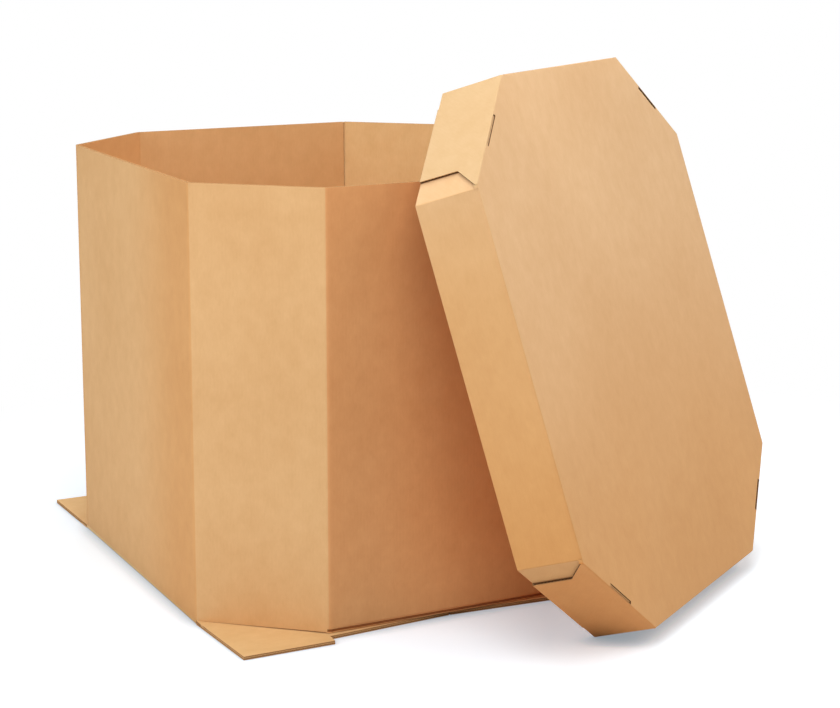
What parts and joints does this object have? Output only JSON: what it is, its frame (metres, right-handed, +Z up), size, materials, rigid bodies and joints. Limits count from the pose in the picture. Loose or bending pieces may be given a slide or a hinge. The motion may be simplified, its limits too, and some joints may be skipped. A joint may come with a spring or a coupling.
{
  "type": "bulk pallet box",
  "caption": "Octagonal corrugated bulk box with scored bottom flaps and corner ears that fill a pallet, and a shallow cut-corner lid leaned against one corner.",
  "frame": {"origin": "on the floor, under the middle of the bounding box of the box and its leaning lid", "axes": "+Z up, +Y along the long panels, away from the viewer; +X along the short panels, towards the side where the lid leans"},
  "size_m": [1.4022, 1.6088, 1.1434],
  "materials": {
    "heavy_board": "matt brown kraft, double-wall",
    "lid_board": "matt brown kraft"
  },
  "bodies": {
    "box": {"sleeve": "heavy_board", "lid": "lid_board"},
    "flap_left": {"bottom_flap_left": "heavy_board"},
    "flap_right": {"bottom_flap_right": "heavy_board"}
  },
  "joints": [
    {"name": "flap_left_fold", "type": "hinge", "parent": "box", "child": "flap_left", "pos_m": [-0.69312, 0.19486, 0.004], "axis": [0, 1, 0], "range_deg": [0, 135]},
    {"name": "flap_right_fold", "type": "hinge", "parent": "box", "child": "flap_right", "pos_m": [0.29888, 0.19486, 0.004], "axis": [0, -1, 0], "range_deg": [0, 135]}
  ]
}
